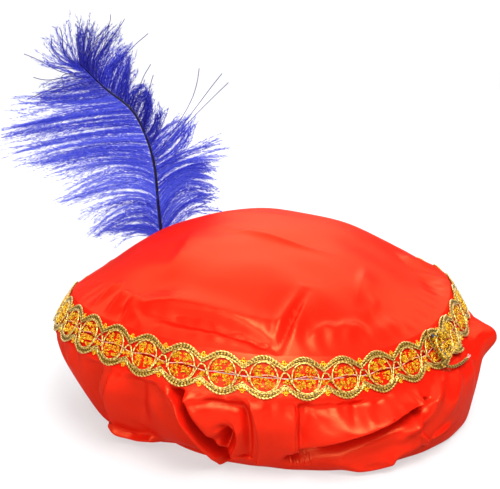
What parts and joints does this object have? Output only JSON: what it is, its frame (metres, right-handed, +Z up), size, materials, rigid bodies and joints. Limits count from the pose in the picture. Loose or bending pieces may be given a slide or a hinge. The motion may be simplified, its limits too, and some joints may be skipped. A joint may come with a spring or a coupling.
{
  "type": "feathered beret",
  "caption": "Soft satin beret with a gathered side panel, elastic hem, scalloped gold braid over the seam and a tall dyed ostrich feather behind it.",
  "frame": {"origin": "on the floor under the middle of the whole outline, feather included; the hat's own axis stands at x 0.016, y -0.0005", "axes": "+Z up, -Y towards the wearer's front, where the camera of the picture stands; +X is the viewer's right, the feather leans to -X"},
  "size_m": [0.3696, 0.2996, 0.2671],
  "materials": {
    "satin": "smooth polyester satin, orange-red, soft broad sheen",
    "braid": "woven metallic gimp braid, gold cords and glittering tinsel",
    "feather": "dyed ostrich barbs, royal blue to violet, matt and slightly see-through",
    "quill": "dyed feather shaft, near-black navy, semi-gloss"
  },
  "bodies": {
    "root": {"crown": "satin", "side_panel": "satin", "elastic_hem": "satin", "braid_trim": "braid", "braid_end": "braid", "feather_shaft": "quill", "vane_left": "feather", "vane_right": "feather"}
  },
  "joints": []
}
